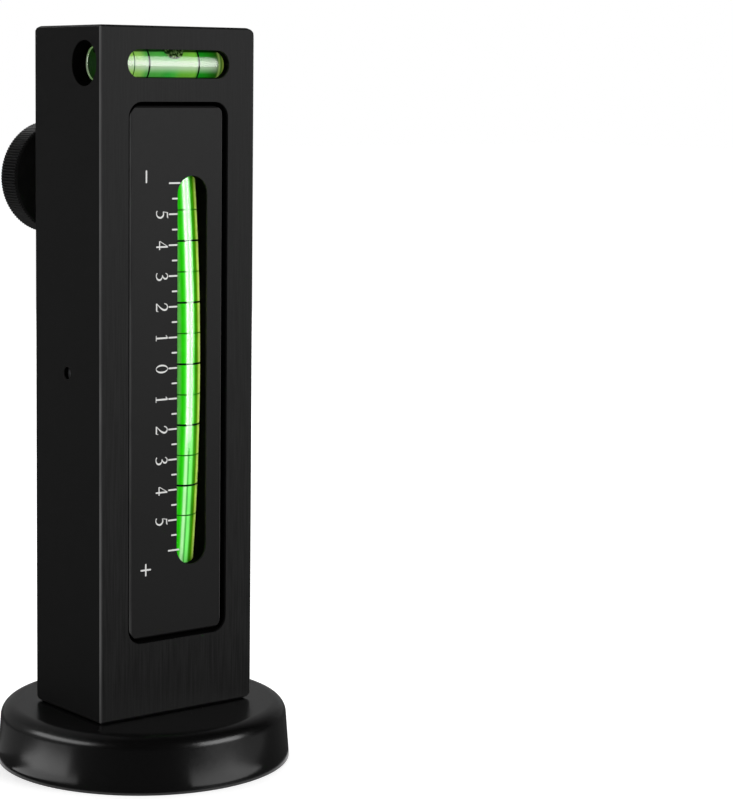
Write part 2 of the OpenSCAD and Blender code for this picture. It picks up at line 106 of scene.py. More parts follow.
def make_object(name, parts, body=None):
    """Doubles at poles are merged, and faces turned outwards."""
    mesh = bpy.data.meshes.new(name)
    shell = bmesh.new()
    for points, faces in parts:
        verts = [shell.verts.new(p) for p in np.asarray(points, float).reshape(-1, 3).tolist()]
        for face in faces:
            shell.faces.new([verts[i] for i in face])
    bmesh.ops.remove_doubles(shell, verts=shell.verts, dist=MERGE)
    bmesh.ops.dissolve_degenerate(shell, edges=shell.edges, dist=SPECK)
    bmesh.ops.recalc_face_normals(shell, faces=shell.faces)
    shell.to_mesh(mesh)
    shell.free()
    mesh.polygons.foreach_set("use_smooth", np.ones(len(mesh.polygons), bool))
    mesh.set_sharp_from_angle(angle=math.radians(CREASE))
    piece = bpy.data.objects.new(name, mesh)
    bpy.context.scene.collection.objects.link(piece)
    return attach(piece, body) if body else piece


def grid_faces(rows, cols, wrap=False):
    """Quads of a rows x cols grid of points. Each row closes on itself, and with wrap the last row
    joins the first."""
    i = np.arange(rows if wrap else rows - 1)[:, None]
    j = np.arange(cols)[None, :]
    i1, j1 = (i + 1) % rows, (j + 1) % cols
    quads = np.stack([i * cols + j, i * cols + j1, i1 * cols + j1, i1 * cols + j], -1)
    return quads.reshape(-1, 4).tolist()


def sweep(points, wrap=False):
    """Part from rings of points, an array (rings, points in a ring, 3). The two ends are capped, or
    with wrap the last ring joins the first."""
    rings, count = points.shape[:2]
    faces = grid_faces(rings, count, wrap)
    if not wrap:
        faces.append(list(range(count))[::-1])
        faces.append(list(range((rings - 1) * count, rings * count)))
    return points.reshape(-1, 3), faces


def bent_points(along, radius, turn, side):
    """Point on a bar bent about X: the arc's centre lies BEND_R behind the vial's apex. Up the arc
    by the angle along and round the bar by turn, the distance from the arc's centre is BEND_R plus
    radius times cos(turn), and the sideways distance is radius times sin(turn). side is -1 for the
    front vial and +1 for the back one."""
    mid = VIAL_MID if side < 0 else CASTER_MID
    apex = VIAL_LOW.y + VIAL_R if side < 0 else CASTER_HIGH.y - VIAL_R
    reach = BEND_R + radius * np.cos(turn)
    x = mid.x + radius * np.sin(turn) + 0 * along
    y = apex + side * (reach * np.cos(along) - BEND_R)
    z = mid.z + reach * np.sin(along)
    return np.stack(np.broadcast_arrays(x, y, z), -1)


def level_points(x, radius, turn):
    """Point on a bar along X at the level vial's axis: turn 0 is the top, and -90 the front."""
    y = LEVEL_MID.y + radius * np.sin(turn) + 0 * x
    z = LEVEL_MID.z + radius * np.cos(turn) + 0 * x
    return np.stack(np.broadcast_arrays(x, y, z), -1)


def around(count):
    """Angles once round a bar, as a row."""
    return np.linspace(0, 2 * math.pi, count, endpoint=False)[None, :]


def column(values):
    """Values down a column, one for each ring."""
    return np.asarray(values, float)[:, None]


def arc(centre, radius, start, end, count):
    """Points (x, r) of an arc about (centre, 0), from start to end in degrees from the axis."""
    a = np.radians(np.linspace(start, end, count))
    return centre + radius * np.cos(a), radius * np.sin(a)


# Vials ------------------------------------

RINGS = 121                  # rings along a bent vial
ROUND = 64                   # points round a vial
LIP_STEPS, DOME_STEPS = 9, 20     # points over the level tube's lip, and over its closed end
WALL_STEPS = 28              # points along the level liquid's straight wall
BUBBLE_STEPS, BUBBLE_ROUND = 14, 48
BUBBLE_DEPTH = 1.5 * MM      # how deep a bubble dips into the liquid
OVAL_POWER = 2.5             # power of the superellipse that outlines a bubble
SKIN_GAP = 1e-6              # keeps a bubble's two skins apart at their rim


def bent_glass(side):
    """Tube of the bent vial: up its outside and down its inside, closed into one loop of rings."""
    up = np.linspace(-VIAL_ANGLE, VIAL_ANGLE, RINGS)
    along = np.concatenate([up, up[::-1]])
    radius = np.repeat([VIAL_R, VIAL_R - GLASS_WALL], RINGS)
    return [sweep(bent_points(column(along), column(radius), around(ROUND), side), wrap=True)]


def bent_liquid(side):
    """Solid bent bar that fills the tube between its plugs."""
    up = np.linspace(-LIQUID_ANGLE, LIQUID_ANGLE, RINGS)
    return [sweep(bent_points(column(up), LIQUID_R, around(ROUND), side))]


def band(place, middle, width, radius):
    """Thin band round a bar, in the wall just outside the liquid: a rectangle, width along the bar
    and RING_T thick, turned once round by place, which maps position, radius and turn to a
    point."""
    along = column(middle + np.array([-1, 1, 1, -1]) * width / 2)
    reach = column(radius + RING_OUT + np.array([1, 1, 0, 0]) * RING_T)
    return sweep(place(along, reach, around(ROUND)), wrap=True)


def bubble_cap(place, middle, half_len, half_turn, radius):
    """Air against the wall: a lens with a full oval outline, a superellipse in polar form. A share
    s of the way out at angle t it lies half_len s cos(t) along and half_turn s sin(t) round, with
    the cosine and sine raised to 2 / OVAL_POWER. Its outer skin follows the wall, and its inner
    skin dips by BUBBLE_DEPTH times the square root of 1 - s squared. half_turn is in degrees."""
    steps = np.linspace(0, 1, BUBBLE_STEPS)
    s = column(np.concatenate([steps, steps[::-1]]))
    t = around(BUBBLE_ROUND)
    along, across = [np.sign(c) * np.abs(c) ** (2 / OVAL_POWER) for c in (np.cos(t), np.sin(t))]
    dip = np.concatenate([0 * steps, BUBBLE_DEPTH * np.sqrt(1 - steps[::-1] ** 2) + SKIN_GAP])
    points = place(middle + half_len * s * along, radius - column(dip),
                   math.radians(half_turn) * s * across)
    return points.reshape(-1, 3), grid_faces(len(s), BUBBLE_ROUND)


def level_glass():
    """Blown level tube, turned round its axis: a rounded open lip at the left, a straight wall, and
    an outer and an inner hemisphere at the right."""
    lip = LEVEL_WALL / 2
    centre = LEVEL_HIGH.x - LEVEL_R
    inner = LEVEL_R - LEVEL_WALL
    lip_a = np.radians(np.linspace(270, 90, LIP_STEPS))
    lip_x = LEVEL_LOW.x + lip + lip * np.cos(lip_a)
    lip_r = inner + lip + lip * np.sin(lip_a)
    out_x, out_r = arc(centre, LEVEL_R, 90, 0, DOME_STEPS)
    in_x, in_r = arc(centre, inner, 0, 90, DOME_STEPS)
    x = np.concatenate([lip_x, out_x, in_x])
    r = np.concatenate([lip_r, out_r, in_r])
    return [sweep(level_points(column(x), column(r), around(ROUND)), wrap=True)]


def level_liquid():
    """Liquid of the level vial: a flat end at the plug, a straight wall and a hemisphere."""
    centre = LEVEL_HIGH.x - LEVEL_R
    start = LEVEL_LOW.x + PLUG_LEN
    end_x, end_r = arc(centre, LEVEL_LIQUID_R, 90, 0, DOME_STEPS)
    wall = np.linspace(start, centre, WALL_STEPS + 2)[1:-1]
    x = np.concatenate([[start, start], wall, end_x])
    r = np.concatenate([[0, LEVEL_LIQUID_R], np.full(WALL_STEPS, LEVEL_LIQUID_R), end_r])
    points = level_points(column(x), column(r), around(ROUND))
    return [(points.reshape(-1, 3), grid_faces(len(x), ROUND))]


# Scales -----------------------------------

DIGIT_H = 2.95 * MM
MAJOR_LEN, MINOR_LEN = 2.2 * MM, 1.4 * MM
TICK_HALF = 0.17 * MM
TICK_GAP = 0.15 * MM         # between a tick and its digit
TICK_SHORT = 0.03 * MM       # between a tick and the window's edge
END_TICK = 0.65 * MM         # the first and last tick run on to the window's round end
SIGN_AT = 40.3 * MM          # height of the signs above and below the window's middle
SIGN_OUT = 7.7 * MM          # from the window's edge to the middle of a sign
SIGN_HALF = 1.3 * MM
LAST_TICK = 6                # degrees
LAYER_DROP = 0.12            # share of PRINT_T by which each later stroke of a sign lies lower

# Digits in shares of their height, as strokes with thick stems and thin turns. Each knot of a
# stroke gives how far across, how far up, and half the stroke's width.
STROKES = {
    1: [[(0.12, 0.84, 0.018), (0.22, 0.91, 0.035), (0.31, 0.99, 0.02)],
        [(0.31, 0.98, 0.058), (0.31, 0.03, 0.058)],
        [(0.12, 0.025, 0.025), (0.50, 0.025, 0.025)]],
    2: [[(0.05, 0.70, 0.03), (0.13, 0.89, 0.035), (0.30, 0.96, 0.035), (0.46, 0.87, 0.055),
         (0.50, 0.69, 0.062), (0.40, 0.46, 0.05), (0.21, 0.24, 0.03), (0.04, 0.06, 0.022)],
        [(0.03, 0.055, 0.052), (0.55, 0.055, 0.052)],
        [(0.55, 0.03, 0.022), (0.60, 0.21, 0.016)]],
    3: [[(0.07, 0.80, 0.028), (0.16, 0.93, 0.032), (0.31, 0.96, 0.035), (0.45, 0.86, 0.055),
         (0.44, 0.70, 0.055), (0.33, 0.59, 0.035), (0.19, 0.53, 0.02)],
        [(0.19, 0.53, 0.02), (0.38, 0.50, 0.035), (0.52, 0.35, 0.06), (0.49, 0.15, 0.055),
         (0.33, 0.035, 0.032), (0.16, 0.03, 0.032), (0.05, 0.10, 0.04)]],
    4: [[(0.42, 0.98, 0.055), (0.42, 0.02, 0.055)],
        [(0.40, 0.96, 0.022), (0.03, 0.33, 0.022)],
        [(0.02, 0.29, 0.042), (0.62, 0.29, 0.042)]],
    5: [[(0.16, 0.93, 0.048), (0.46, 0.94, 0.045), (0.55, 1.00, 0.018)],
        [(0.17, 0.95, 0.022), (0.11, 0.58, 0.022)],
        [(0.11, 0.57, 0.022), (0.27, 0.61, 0.045), (0.43, 0.54, 0.058), (0.52, 0.36, 0.062),
         (0.46, 0.16, 0.052), (0.31, 0.04, 0.034), (0.15, 0.03, 0.03), (0.04, 0.09, 0.036)]],
}
DIGIT_W = {0: 0.60, 1: 0.62, 2: 0.62, 3: 0.58, 4: 0.64, 5: 0.58}
ZERO_HALF = ((0.30, 0.5), (0.185, 0.455))     # outer and inner half axes of the oval
ZERO_ROUND = 48
STROKE_STEPS, NOSE_STEPS = 24, 7      # points along a stroke, and over a tick's round end
END_WIDTH = 1e-7             # half the width left at the tip of a tick, so that it has an edge


def smooth_line(knots):
    """Points along knots: between two knots each value follows the cubic whose slopes at the knots
    are the mean rise there."""
    knots = np.asarray(knots, float)
    slope = np.gradient(knots, axis=0)
    s = np.linspace(0, len(knots) - 1, STROKE_STEPS)
    i = np.minimum(s.astype(int), len(knots) - 2)
    f = (s - i)[:, None]
    return (knots[i] * (2 * f ** 3 - 3 * f ** 2 + 1) + knots[i + 1] * (3 * f ** 2 - 2 * f ** 3)
            + slope[i] * (f ** 3 - 2 * f ** 2 + f) + slope[i + 1] * (f ** 3 - f ** 2))


def ribbon(line):
    """Left and right edge of a stroke: its centre line, moved half its width to each side."""
    along = np.gradient(line[:, :2], axis=0)
    along /= np.linalg.norm(along, axis=1, keepdims=True)
    aside = np.stack([-along[:, 1], along[:, 0]], -1) * line[:, 2:3]
    return line[:, :2] + aside, line[:, :2] - aside


def raised(left, right, place, layer=0, wrap=False):
    """Flat stroke between two edges, standing PRINT_T proud. Each later layer of a sign is a little
    lower, so that crossing strokes share no face. place maps across, up and out to a point."""
    top = PRINT_T * (1 - LAYER_DROP * layer)
    ring = [place(e[:, 0], e[:, 1], h) for e, h in
            ((left, -PRINT_T), (left, top), (right, top), (right, -PRINT_T))]
    return sweep(np.stack(ring, 1), wrap=wrap)


def bar_line(start, end, half):
    """Straight stroke with round ends: near an end the half width follows a circle."""
    start, end = np.array(start, float), np.array(end, float)
    length = np.linalg.norm(end - start)
    a = np.linspace(0, math.pi / 2, NOSE_STEPS)
    nose = half * (1 - np.cos(a))
    s = np.concatenate([nose, (length - nose)[::-1]])
    width = np.concatenate([half * np.sin(a), half * np.sin(a)[::-1]]) + END_WIDTH
    return np.c_[start + (end - start) * (s / length)[:, None], width]


def digit(number, place):
    """Parts of one digit, centred across on its tick, standing on its baseline."""
    def put(across, up, out):
        return place((across - DIGIT_W[number] / 2) * DIGIT_H, up * DIGIT_H, out)
    if number == 0:
        t = around(ZERO_ROUND)[0]
        outer, inner = [np.c_[DIGIT_W[0] / 2 + a * np.cos(t), 0.5 + b * np.sin(t)]
                        for a, b in ZERO_HALF]
        return [raised(outer, inner, put, wrap=True)]
    return [raised(*ribbon(smooth_line(stroke)), put, layer)
            for layer, stroke in enumerate(STROKES[number])]


def scale_print(face, side):
    """Ticks every half degree with a digit at each whole one, and a minus and a plus sign. The text
    lies on its side with its tops towards the window. face is the height of the scale face along Y,
    and side is -1 on the front and +1 on the back."""
    edge = PLATE_MID.x + VIAL_MID.x - WINDOW_W / 2
    zero = VIAL_MID.z if side < 0 else CASTER_MID.z

    def frame_at(x, z):
        """Place whose up is +X. Its text reads downwards on the front and upwards on the back."""
        def place(across, up, out):
            return np.stack(np.broadcast_arrays(x + up, face + side * out, z + side * across), -1)
        return place

    parts = []
    ticks = frame_at(edge, zero)
    for half_degree in range(-2 * LAST_TICK, 2 * LAST_TICK + 1):
        at = half_degree * DEGREE / 2
        length = MINOR_LEN if half_degree % 2 else MAJOR_LEN
        tip = END_TICK if abs(half_degree) == 2 * LAST_TICK else -TICK_SHORT
        parts.append(raised(*ribbon(bar_line((at, -length), (at, tip), TICK_HALF)), ticks))
        if half_degree % 2 == 0 and abs(half_degree) < 2 * LAST_TICK:
            foot = edge - MAJOR_LEN - TICK_GAP - DIGIT_H
            parts += digit(abs(half_degree) // 2, frame_at(foot, zero + at))
    minus = [((-SIGN_HALF, 0), (SIGN_HALF, 0))]
    plus = minus + [((0, -SIGN_HALF), (0, SIGN_HALF))]
    for end, strokes in ((-1, plus), (1, minus)):
        sign = frame_at(edge - SIGN_OUT, PLATE_MID.z + end * SIGN_AT)
        parts += [raised(*ribbon(bar_line(*stroke, TICK_HALF)), sign, layer)
                  for layer, stroke in enumerate(strokes)]
    return parts


# Card strips ------------------------------

STOP_GAP = 0.2 * MM          # from the back of the camber vial to the strips
STOP_T, STOP_LEN = 0.3 * MM, 16 * MM
STOP_BITE = 0.03 * MM        # how far a strip's edges go into what holds them
VIAL_FIT, POCKET_GAP = 0.2 * MM, 0.85 * MM   # air beside the vial, and beside the plate


def light_stops():
    """Three flat strips of black card over the opening in the web where the rocker's lugs turn, put
    there as painted shade: one behind the camber vial, and one in the gap on either side of the
    plate.
    A strip's corners are its middle plus or minus half its width, thickness and length."""
    signs = np.stack(np.meshgrid((-1, 1), (-1, 1), (-1, 1), indexing="ij"), -1).reshape(-1, 3)
    faces = [(0, 1, 3, 2), (4, 6, 7, 5), (0, 4, 5, 1), (2, 3, 7, 6), (0, 2, 6, 4), (1, 5, 7, 3)]
    y = VIAL_LOW.y + 2 * VIAL_R + STOP_GAP + STOP_T / 2
    gap = POCKET_GAP / 2
    beside = PLATE_HIGH.x + gap - PLATE_MID.x
    strips = [(VIAL_MID.x, VIAL_R + VIAL_FIT), (PLATE_MID.x - beside, gap),
              (PLATE_MID.x + beside, gap)]
    return [(np.array((x, y, VIAL_MID.z))
             + signs * (half + STOP_BITE, STOP_T / 2, STOP_LEN / 2), faces) for x, half in strips]


# Lead screw and spring --------------------

THREAD_PITCH = 0.7 * MM
THREAD_DEPTH = 0.38 * MM
THREAD_STEPS = 8             # rings in each pitch
THREAD_ROUND = 32            # points round the screw
SPRING_WIRE = 0.7 * MM
SPRING_TURNS = 5
SPRING_STEPS = 48            # rings in each turn
SPRING_ROUND = 16            # points round the wire


def threaded_rod():
    """Lead screw: a bar along Y whose radius rises and falls once in each pitch, in step with the
    angle round it, so that the crests wind into one thread. Its ends run out to the core."""
    radius = (SCREW_HIGH.x - SCREW_LOW.x) / 2
    length = SCREW_HIGH.y - SCREW_LOW.y
    y = np.linspace(0, length, int(length / THREAD_PITCH * THREAD_STEPS))
    turn = around(THREAD_ROUND)
    phase = (column(y) / THREAD_PITCH + turn / (2 * math.pi)) % 1
    crest = 1 - np.abs(2 * phase - 1)
    fade = np.clip(np.minimum(column(y), length - column(y)) / THREAD_PITCH, 0, 1)
    r = radius - THREAD_DEPTH * (1 - crest * fade)
    points = np.stack([SCREW_MID.x + r * np.cos(turn), SCREW_LOW.y + column(y) + 0 * r,
                       SCREW_MID.z + r * np.sin(turn)], -1)
    return [sweep(points)]


def spring_coil():
    """Round wire on a helix about the lead screw, which moves back by the same step each turn. A
    ring of the wire lies in the plane through the axis: its distance from the axis is the coil's
    radius plus the wire's times cos, and its place along it the helix's plus the wire's times
    sin."""
    wire = SPRING_WIRE / 2
    coil = (SPRING_HIGH.x - SPRING_LOW.x) / 2 - wire
    turn = column(np.linspace(0, 2 * math.pi * SPRING_TURNS, SPRING_STEPS * SPRING_TURNS + 1))
    travel = SPRING_HIGH.y - SPRING_LOW.y - SPRING_WIRE
    section = around(SPRING_ROUND)
    r = coil + wire * np.cos(section)
    y = SPRING_LOW.y + wire + travel * turn / turn[-1] + wire * np.sin(section)
    points = np.stack([SPRING_MID.x + r * np.cos(turn), y, SPRING_MID.z + r * np.sin(turn)], -1)
    return [sweep(points)]


# Materials --------------------------------

CHAMFER_LEAN = 0.3           # on a chamfer, a normal's X times its Y is more than this
CHAMFER_REACH = 0.5 * MM     # and the chamfer lies this close to its front face
HIGHLIGHT_STEP = (0.14 * MM, 0.26 * MM)     # how far behind the face the painted highlight begins and is full
EDGE_LEFT, EDGE_FACE, EDGE_ROUND = 0.2 * MM, 0.55 * MM, 0.8 * MM     # reach of the housing's edges
SIDE_STREAKS = 0.15          # strength of the streaks on the sides, as a share of the front's
SCRATCH_RELIEF, GRIT_RELIEF = 0.03 * MM, 0.02 * MM
ROUGH_SWING = 0.06           # how far a grit moves the roughness to each side
SHINE = "Specular IOR Level"
ONE_RING = 0.314             # wave scale at which one unit holds one ring, a tenth of pi


def linear(hex_colour):
    """sRGB hex string to linear RGBA."""
    c = np.array([int(hex_colour[i:i + 2], 16) for i in (1, 3, 5)]) / 255
    c = np.where(c <= 0.04045, c / 12.92, ((c + 0.055) / 1.055) ** 2.4)
    return (*c.tolist(), 1.0)


def add(tree, kind, inputs=None, **settings):
    """Add a node of a kind, set its settings, and fill its inputs with values or with links from
    sockets. A node given as an input stands for its first output."""
    node = tree.nodes.new("ShaderNode" + kind)
    for key, value in settings.items():
        setattr(node, key, value)
    for key, value in (inputs or {}).items():
        if isinstance(value, bpy.types.Node):
            value = value.outputs[0]
        if isinstance(value, bpy.types.NodeSocket):
            tree.links.new(value, node.inputs[key])
        else:
            node.inputs[key].default_value = value
    return node


def new_material(name, **shader):
    """A material with one Principled shader whose sockets are set by name."""
    material = bpy.data.materials.new(name)
    material.use_nodes = True
    tree = material.node_tree
    tree.nodes.clear()
    principled = add(tree, "BsdfPrincipled", shader)
    add(tree, "OutputMaterial", {"Surface": principled})
    return material, tree, principled


def set_surface(tree, shader, rough, height, bump, rise):
    """Join one node as the shader's roughness and another as its relief, with a strength of bump
    and a height of rise metres."""
    tree.links.new(rough.outputs[0], shader.inputs["Roughness"])
    relief = add(tree, "Bump", {"Height": height, "Strength": bump, "Distance": rise})
    tree.links.new(relief.outputs[0], shader.inputs["Normal"])


def pattern_space(tree, size, centre=(0, 0, 0)):
    """Object coordinates about centre, in which one unit is size metres along each axis."""
    place = add(tree, "TexCoord")
    return add(tree, "Mapping", {"Vector": place.outputs["Object"],
                                 "Location": tuple(-c / s for c, s in zip(centre, size)),
                                 "Scale": tuple(1 / s for s in size)})


def chamfer_highlight(tree, face):
    """How strong a painted highlight is on the upright chamfers of a front face at Y = face, 0
    elsewhere: there the surface leans towards both X and Y and lies close to the face. The painted
    highlight is strongest on the half of the chamfer next to the side, and comes and goes along it."""
    place = add(tree, "TexCoord")
    normal = add(tree, "SeparateXYZ", {0: place.outputs["Normal"]})
    point = add(tree, "SeparateXYZ", {0: place.outputs["Object"]})
    lean = add(tree, "Math", {0: normal.outputs[0], 1: normal.outputs[1]}, operation="MULTIPLY")
    size = add(tree, "Math", {0: lean}, operation="ABSOLUTE")
    leaning = add(tree, "Math", {0: size, 1: CHAMFER_LEAN}, operation="GREATER_THAN")
    near = add(tree, "Math", {0: point.outputs[1], 1: face + CHAMFER_REACH}, operation="LESS_THAN")
    on = add(tree, "Math", {0: leaning, 1: near}, operation="MULTIPLY")
    outer = add(tree, "MapRange", {"Value": point.outputs[1], "From Min": face + HIGHLIGHT_STEP[0],
                                   "From Max": face + HIGHLIGHT_STEP[1], "To Min": 0.42, "To Max": 1.0})
    highlight_flicker = add(tree, "TexNoise", {"Vector": pattern_space(tree, (3 * MM, 3 * MM, 12 * MM)),
                                 "Scale": 1.0, "Detail": 2.0})
    patch = add(tree, "MapRange", {"Value": highlight_flicker, "From Min": 0.3, "From Max": 0.7,
                                   "To Min": 0.7, "To Max": 1.15})
    highlight_strength = add(tree, "Math", {0: outer, 1: patch}, operation="MULTIPLY")
    return add(tree, "Math", {0: on, 1: highlight_strength}, operation="MULTIPLY")


def recess_shade_mask(tree):
    """1 on the faces of the housing that lie deeper than its edges reach, where shade is painted:
    EDGE_LEFT from its left side, EDGE_FACE from its front and back, EDGE_ROUND from its rounded
    right side and top. 0 elsewhere."""
    point = add(tree, "SeparateXYZ", {0: add(tree, "TexCoord").outputs["Object"]})
    depth = add(tree, "Math", {0: point.outputs[1]}, operation="ABSOLUTE")
    inside = 1.0
    for value, side, limit in ((point.outputs[0], "GREATER_THAN", BODY_LOW.x + EDGE_LEFT),
                               (point.outputs[0], "LESS_THAN", BODY_HIGH.x - EDGE_ROUND),
                               (depth, "LESS_THAN", BODY_HIGH.y - EDGE_FACE),
                               (point.outputs[2], "LESS_THAN", BODY_HIGH.z - EDGE_ROUND)):
        test = add(tree, "Math", {0: value, 1: limit}, operation=side)
        inside = add(tree, "Math", {0: test, 1: inside}, operation="MULTIPLY")
    return inside


def brushed_aluminium(name, colour, light, highlight_tone, roughness, grain, bump, level):
    """Black anodised aluminium, brushed along Z: fine long scratches show as soft upright streaks
    on the front and back, fainter on the sides, and the upright chamfers carry a paler painted
    highlight. Inside the bores, pocket and windows it is unbrushed and dull, and coloured near
    black as painted shade. grain is a scratch's size across and along."""
    material, tree, shader = new_material(name, **{SHINE: level})
    fine = add(tree, "TexNoise", {"Vector": pattern_space(tree, (grain[0], grain[0], grain[1])),
                                  "Scale": 1.0, "Detail": 3.0})
    ramp = add(tree, "MapRange", {"Value": fine, "From Min": 0.33, "From Max": 0.67})
    normal = add(tree, "SeparateXYZ", {0: add(tree, "TexCoord").outputs["Normal"]})
    facing = add(tree, "Math", {0: normal.outputs[1]}, operation="ABSOLUTE")
    share = add(tree, "Math", {0: facing, 1: 1 - SIDE_STREAKS, 2: SIDE_STREAKS},
                operation="MULTIPLY_ADD")
    swing = add(tree, "Math", {0: ramp, 1: 0.5}, operation="SUBTRACT")
    streak = add(tree, "Math", {0: swing, 1: share, 2: 0.5}, operation="MULTIPLY_ADD")
    streaks = add(tree, "Mix", {"Factor": streak, "A": linear(colour), "B": linear(light)},
                  data_type="RGBA")
    # painted highlight: a paler tone on the upright chamfers
    edge = add(tree, "Mix", {"Factor": chamfer_highlight(tree, BODY_LOW.y),
                             "A": streaks.outputs["Result"], "B": linear(highlight_tone)}, data_type="RGBA")
    # painted shade: the bores, pocket and windows are coloured near black
    inside = recess_shade_mask(tree)
    recess_shaded = add(tree, "Mix", {"Factor": inside, "A": edge.outputs["Result"],
                             "B": linear("#050505")}, data_type="RGBA")
    tree.links.new(recess_shaded.outputs["Result"], shader.inputs["Base Color"])
    brushed = add(tree, "MapRange", {"Value": streak, "To Min": roughness - 0.04,
                                     "To Max": roughness + 0.04})
    rough = add(tree, "Mix", {"Factor": inside, "A": brushed, "B": 0.9})
    height = add(tree, "Math", {0: fine, 1: share}, operation="MULTIPLY")
    set_surface(tree, shader, rough, height, bump, SCRATCH_RELIEF)
    return material


def scale_plate(name, colour, highlight_tone, roughness, bump, level):
    """Fine matt black scale face, with a paler painted highlight on its upright chamfers. Below its
    face, inside the window, it is coloured near black as painted shade, and made fully rough."""
    material, tree, shader = new_material(name, **{SHINE: level})
    point = add(tree, "SeparateXYZ", {0: add(tree, "TexCoord").outputs["Object"]})
    out = add(tree, "Math", {0: point.outputs[1]}, operation="ABSOLUTE")
    face = add(tree, "MapRange", {"Value": out, "From Min": -PLATE_LOW.y - 0.5 * MM,
                                  "From Max": -PLATE_LOW.y - 0.3 * MM})
    # painted shade: near black below the face, inside the window
    mix = add(tree, "Mix", {"Factor": face, "A": linear("#020202"), "B": linear(colour)},
              data_type="RGBA")
    # painted highlight: a paler tone on the upright chamfers
    edge = add(tree, "Mix", {"Factor": chamfer_highlight(tree, PLATE_LOW.y),
                             "A": mix.outputs["Result"], "B": linear(highlight_tone)}, data_type="RGBA")
    tree.links.new(edge.outputs["Result"], shader.inputs["Base Color"])
    grit = add(tree, "TexNoise", {"Vector": pattern_space(tree, (0.25 * MM,) * 3), "Scale": 1.0,
                                  "Detail": 2.0})
    rough = add(tree, "MapRange", {"Value": grit, "To Min": roughness - 0.08,
                                   "To Max": roughness + 0.08})
    inside_rough = add(tree, "Mix", {"Factor": face, "A": 1.0, "B": rough})
    set_surface(tree, shader, inside_rough, grit, bump, GRIT_RELIEF)
    return material


def satin(name, colour, roughness, grit, bump, **shader):
    """Even satin surface with a faint grit, sized in metres: moulded, cast, painted or plated."""
    material, tree, bsdf = new_material(name, **{"Base Color": linear(colour), **shader})
    noise = add(tree, "TexNoise", {"Vector": pattern_space(tree, (grit,) * 3), "Scale": 1.0,
                                   "Detail": 2.0})
    rough = add(tree, "MapRange", {"Value": noise, "To Min": roughness - ROUGH_SWING,
                                   "To Max": roughness + ROUGH_SWING})
    set_surface(tree, bsdf, rough, noise, bump, GRIT_RELIEF)
    return material


def painted_glint_skin(name, bubble_shade_tone, pale, roughness, glint_size):
    """Skin of a bubble with its light painted in: a dark tone as painted shade, with pale flecks,
    sized in metres, as painted glints from the lit liquid behind it."""
    material, tree, shader = new_material(name, **{"Roughness": roughness})
    noise = add(tree, "TexNoise", {"Vector": pattern_space(tree, (glint_size,) * 3), "Scale": 1.0,
                                   "Detail": 3.0})
    share = add(tree, "MapRange", {"Value": noise, "From Min": 0.48, "From Max": 0.66})
    mix = add(tree, "Mix", {"Factor": share, "A": linear(bubble_shade_tone), "B": linear(pale)},
              data_type="RGBA")
    tree.links.new(mix.outputs["Result"], shader.inputs["Base Color"])
    return material


def turned(name, colour, roughness, axis, centre, pitch, bump, **shader):
    """Surface finished on a lathe: fine rings round an axis, pitch metres apart, under a faint
    grit."""
    material, tree, bsdf = new_material(name, **{"Base Color": linear(colour), **shader})
    rings = add(tree, "TexWave", {"Vector": pattern_space(tree, (pitch,) * 3, centre),
                                  "Scale": ONE_RING, "Distortion": 0.6, "Detail": 2.0},
                wave_type="RINGS", rings_direction=axis)
    grit = add(tree, "TexNoise", {"Vector": pattern_space(tree, (2 * pitch,) * 3), "Scale": 1.0})
    height = add(tree, "Math", {0: rings.outputs[1], 1: grit}, operation="ADD")
    rough = add(tree, "MapRange", {"Value": grit, "To Min": roughness - ROUGH_SWING,
                                   "To Max": roughness + ROUGH_SWING})
    set_surface(tree, bsdf, rough, height, bump, GRIT_RELIEF)
    return material


